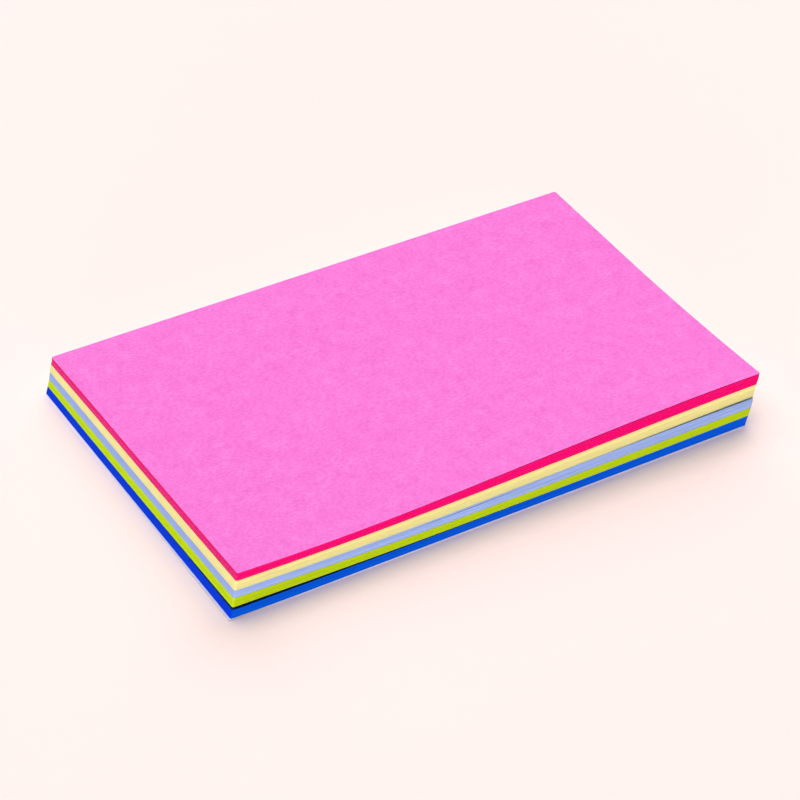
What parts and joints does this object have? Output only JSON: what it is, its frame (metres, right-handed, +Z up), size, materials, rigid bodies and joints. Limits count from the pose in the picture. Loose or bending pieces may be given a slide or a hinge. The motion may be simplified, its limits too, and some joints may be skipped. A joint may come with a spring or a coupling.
{
  "type": "sticky note pad",
  "caption": "Rectangular pad of blank sticky notes in stacked blocks of bright and pale colours, glued along one long edge and curling up a little at the other.",
  "frame": {"origin": "centre of the underside of the backing sheet, on the surface that the pad lies on", "axes": "+X along the long side, +Y towards the glued long edge, +Z up through the sheets"},
  "size_m": [0.1283, 0.0768, 0.0146],
  "materials": {
    "release_paper": "satin",
    "royal_blue_paper": "matte",
    "lime_green_paper": "matte",
    "periwinkle_paper": "matte",
    "pale_yellow_paper": "matte",
    "hot_pink_paper": "matte",
    "adhesive": "satin"
  },
  "bodies": {
    "root": {"backing_sheet": "release_paper", "royal_blue_adhesive": "adhesive", "royal_blue_sheets": "royal_blue_paper", "lime_green_adhesive": "adhesive", "lime_green_sheets": "lime_green_paper", "periwinkle_adhesive": "adhesive", "periwinkle_sheets": "periwinkle_paper", "pale_yellow_adhesive": "adhesive", "pale_yellow_sheets": "pale_yellow_paper", "hot_pink_adhesive": "adhesive", "hot_pink_sheets": "hot_pink_paper"}
  },
  "joints": []
}
